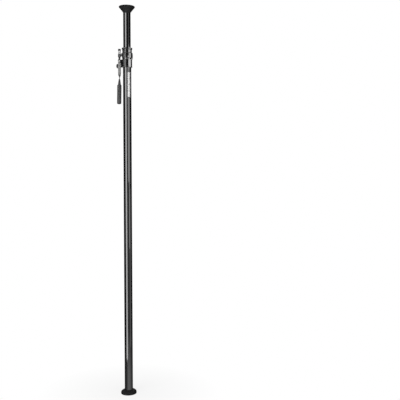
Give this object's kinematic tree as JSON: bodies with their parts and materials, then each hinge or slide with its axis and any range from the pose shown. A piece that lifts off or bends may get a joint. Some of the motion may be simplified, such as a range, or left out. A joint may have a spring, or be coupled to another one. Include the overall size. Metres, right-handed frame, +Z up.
{
  "type": "floor to ceiling tension pole",
  "caption": "Telescopic floor to ceiling tension pole: two black tubes, rubber end cups and a cam lever lock with a turning fine adjuster.",
  "frame": {"origin": "on the pole's axis, at the bottom of the floor cup", "axes": "+Z up along the pole, lever on the -X side, +Y to the back"},
  "size_m": [0.101, 0.085, 2.0999],
  "materials": {
    "rubber": "matt moulded rubber",
    "black_plastic": "fine grained black plastic",
    "grip_plastic": "soft satin black moulded plastic",
    "bush_plastic": "plain bearing plastic",
    "fastener_steel": "zinc plated steel",
    "clutch_steel": "hardened dark steel",
    "lever_steel": "satin steel",
    "knob_chrome": "polished",
    "bracket_grey": "as-cast grey alloy",
    "tube_black": "black satin anodised tube",
    "casting_black": "black paint on cast alloy"
  },
  "bodies": {
    "base": {"foot_cup": "rubber", "foot_plug": "black_plastic", "foot_washer": "fastener_steel", "foot_screw": "fastener_steel", "outer_tube": "tube_black", "collar_body": "casting_black", "pinch_screw_1": "fastener_steel", "pinch_nut_1": "fastener_steel", "pinch_screw_2": "fastener_steel", "pinch_nut_2": "fastener_steel", "guide_bush": "bush_plastic", "guide_screw": "fastener_steel", "lever_pin": "fastener_steel", "pin_clip": "clutch_steel"},
    "carriage": {"carriage_body": "casting_black", "adjuster_bracket": "bracket_grey", "bracket_screw_1": "fastener_steel", "bracket_screw_2": "fastener_steel", "knob_retainer": "clutch_steel"},
    "rod": {"push_rod": "lever_steel"},
    "adjuster": {"adjuster_knob": "knob_chrome", "adjuster_cap": "black_plastic"},
    "release": {"clutch_collet": "clutch_steel", "release_sleeve": "casting_black"},
    "upper": {"inner_tube": "tube_black", "slide_bush": "bush_plastic", "top_plug": "black_plastic", "top_cup": "rubber", "top_washer": "fastener_steel", "top_screw": "fastener_steel"},
    "lever": {"lever_arm": "lever_steel", "lever_grip": "grip_plastic", "lock_housing": "casting_black", "housing_rivet_1": "lever_steel", "housing_rivet_2": "lever_steel", "lock_plug": "clutch_steel", "lock_spring": "clutch_steel"},
    "lock": {"lock_pin": "clutch_steel", "lock_button": "black_plastic"}
  },
  "joints": [
    {"name": "lever_swing", "type": "hinge", "parent": "base", "child": "lever", "pos_m": [-0.041, 0, 1.8109], "axis": [0, 1, 0], "range_deg": [0, 100]},
    {"name": "carriage_slide", "type": "slide", "parent": "base", "child": "carriage", "axis": [0, 0, 1], "range_m": [-0.006, 0]},
    {"name": "tube_slide", "type": "slide", "parent": "carriage", "child": "upper", "axis": [0, 0, 1], "range_m": [0, 1.6]},
    {"name": "release_slide", "type": "slide", "parent": "carriage", "child": "release", "axis": [0, 0, 1], "range_m": [0, 0.003]},
    {"name": "knob_turn", "type": "hinge", "parent": "carriage", "child": "adjuster", "pos_m": [-0.041, 0, 1.857], "axis": [0, 0, 1], "range_deg": [0, 720]},
    {"name": "rod_slide", "type": "slide", "parent": "carriage", "child": "rod", "axis": [0, 0, 1], "range_m": [0, 0.0025]},
    {"name": "lock_press", "type": "slide", "parent": "lever", "child": "lock", "axis": [1, 0, 0], "range_m": [0, 0.003], "stiffness_N_per_m": 400, "springref_m": -0.003, "deforming": ["lock_spring"]}
  ],
  "couplings": [
    {"joint": "carriage_slide", "follows": "lever_swing", "m_per_rad": -0.0034377},
    {"joint": "rod_slide", "follows": "knob_turn", "m_per_rad": 0.00019894}
  ]
}
